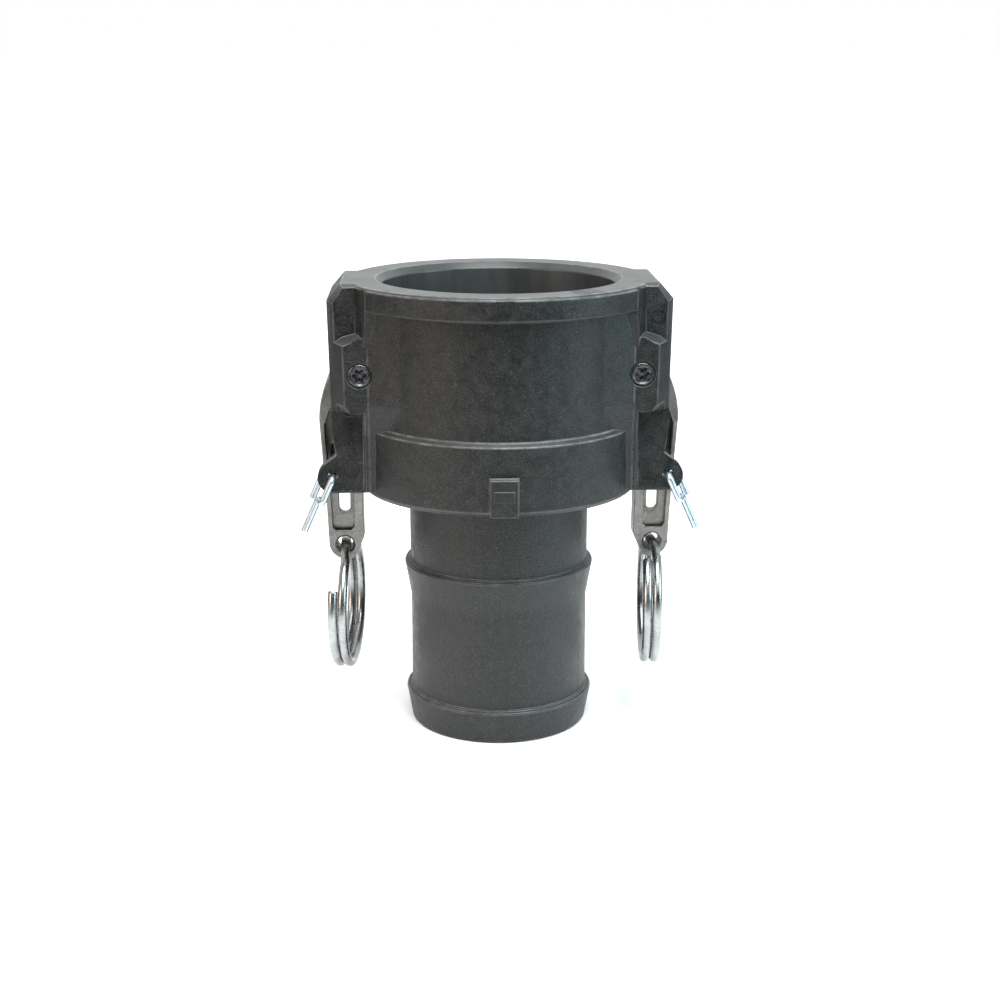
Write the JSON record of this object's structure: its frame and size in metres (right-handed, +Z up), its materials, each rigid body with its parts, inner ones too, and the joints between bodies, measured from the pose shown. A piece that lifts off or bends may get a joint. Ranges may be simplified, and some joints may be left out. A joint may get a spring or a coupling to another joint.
{
  "type": "camlock coupling",
  "caption": "Camlock hose coupler with a moulded socket head, side cam levers with split pull rings and safety clips, an inner gasket and a barbed hose shank.",
  "frame": {"origin": "centre of the hose shank's end face, the lowest point of the upright coupler", "axes": "+Z up the flow axis and out of the mouth, cam arms at +X and -X, pivots along Y, lug on the -Y side"},
  "size_m": [0.1104, 0.085, 0.128],
  "materials": {
    "body_plastic": "black glass-filled moulding, fine grain",
    "gasket_rubber": "matte black",
    "arm_steel": "cast and tumbled, satin",
    "screw_steel": "machined",
    "ring_steel": "polished wire",
    "clip_steel": "bright plated wire"
  },
  "bodies": {
    "housing": {"coupler_body": "body_plastic", "gasket": "gasket_rubber", "pivot_screw_left": "screw_steel", "pivot_screw_right": "screw_steel", "pivot_nut_left": "screw_steel", "pivot_nut_right": "screw_steel"},
    "arm_left": {"cam_arm_left": "arm_steel"},
    "arm_right": {"cam_arm_right": "arm_steel"},
    "ring_left": {"pull_ring_left": "ring_steel"},
    "ring_right": {"pull_ring_right": "ring_steel"},
    "clip_left": {"safety_clip_left": "clip_steel"},
    "clip_right": {"safety_clip_right": "clip_steel"}
  },
  "joints": [
    {"name": "arm_left_pivot", "type": "hinge", "parent": "housing", "child": "arm_left", "pos_m": [-0.03805, 0, 0.1042], "axis": [0, 1, 0], "range_deg": [0, 97]},
    {"name": "arm_right_pivot", "type": "hinge", "parent": "housing", "child": "arm_right", "pos_m": [0.03805, 0, 0.1042], "axis": [0, -1, 0], "range_deg": [0, 97]},
    {"name": "ring_left_swing", "type": "hinge", "parent": "arm_left", "child": "ring_left", "pos_m": [-0.0438, 0, 0.0521], "axis": [0, 1, 0], "range_deg": [-22, 95]},
    {"name": "ring_right_swing", "type": "hinge", "parent": "arm_right", "child": "ring_right", "pos_m": [0.0438, 0, 0.0521], "axis": [0, -1, 0], "range_deg": [-22, 95]},
    {"name": "clip_left_swing", "type": "hinge", "parent": "housing", "child": "clip_left", "pos_m": [-0.046, 0, 0.0754], "axis": [0, 1, 0], "range_deg": [0, 90]},
    {"name": "clip_right_swing", "type": "hinge", "parent": "housing", "child": "clip_right", "pos_m": [0.046, 0, 0.0754], "axis": [0, -1, 0], "range_deg": [0, 90]}
  ]
}
